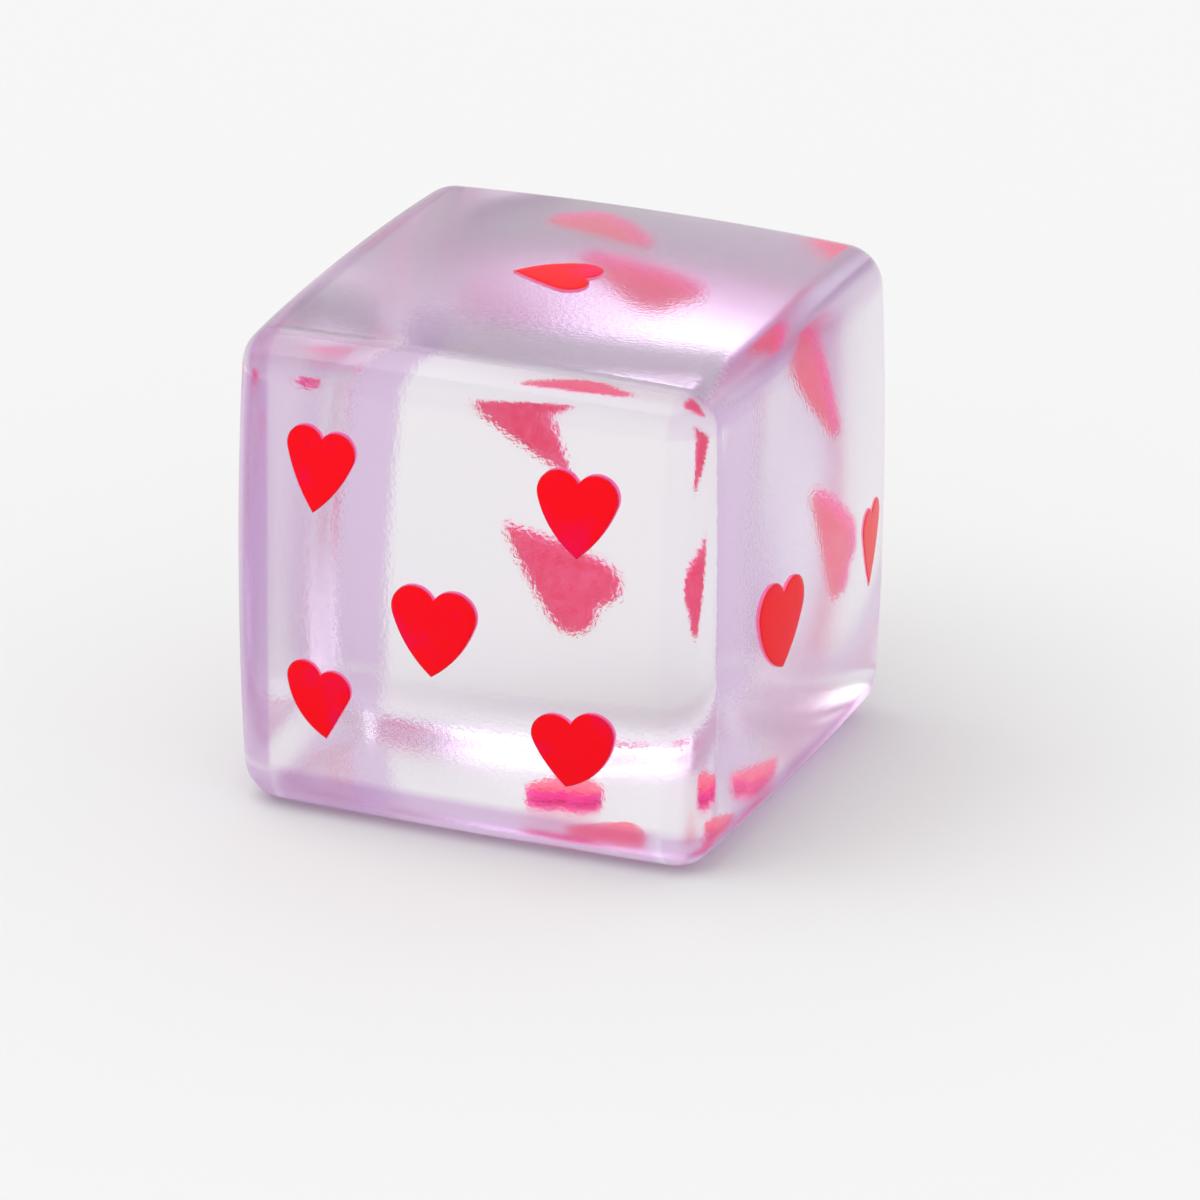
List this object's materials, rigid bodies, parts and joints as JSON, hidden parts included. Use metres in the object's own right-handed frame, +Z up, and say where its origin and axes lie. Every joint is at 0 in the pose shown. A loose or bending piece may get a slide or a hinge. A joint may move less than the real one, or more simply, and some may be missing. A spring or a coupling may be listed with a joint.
{
  "type": "die",
  "caption": "Clear lilac-tinted gaming die with gently swelling faces, soft rounded edges and flush red heart-shaped pips; rolled or set down to show a number.",
  "frame": {"origin": "middle of the flat base that the die stands on", "axes": "+Z up through the face with the single heart; -Y out of the face with five hearts; +X out of the face with two hearts that is to its right"},
  "size_m": [0.0306, 0.0306, 0.0293],
  "materials": {
    "clear_resin": "polished clear cast resin with a faint lilac tint",
    "red_enamel": "glossy opaque red, flush with the clear surface"
  },
  "bodies": {
    "root": {"clear_body": "clear_resin", "heart_front_upper_left": "red_enamel", "heart_front_upper_right": "red_enamel", "heart_front_centre": "red_enamel", "heart_front_lower_left": "red_enamel", "heart_front_lower_right": "red_enamel", "heart_right_forward": "red_enamel", "heart_right_rearward": "red_enamel", "heart_back_upper": "red_enamel", "heart_back_lower": "red_enamel", "heart_left_rearward": "red_enamel", "heart_left_forward": "red_enamel", "heart_top_centre": "red_enamel", "heart_base_forward": "red_enamel", "heart_base_rearward": "red_enamel"}
  },
  "joints": []
}
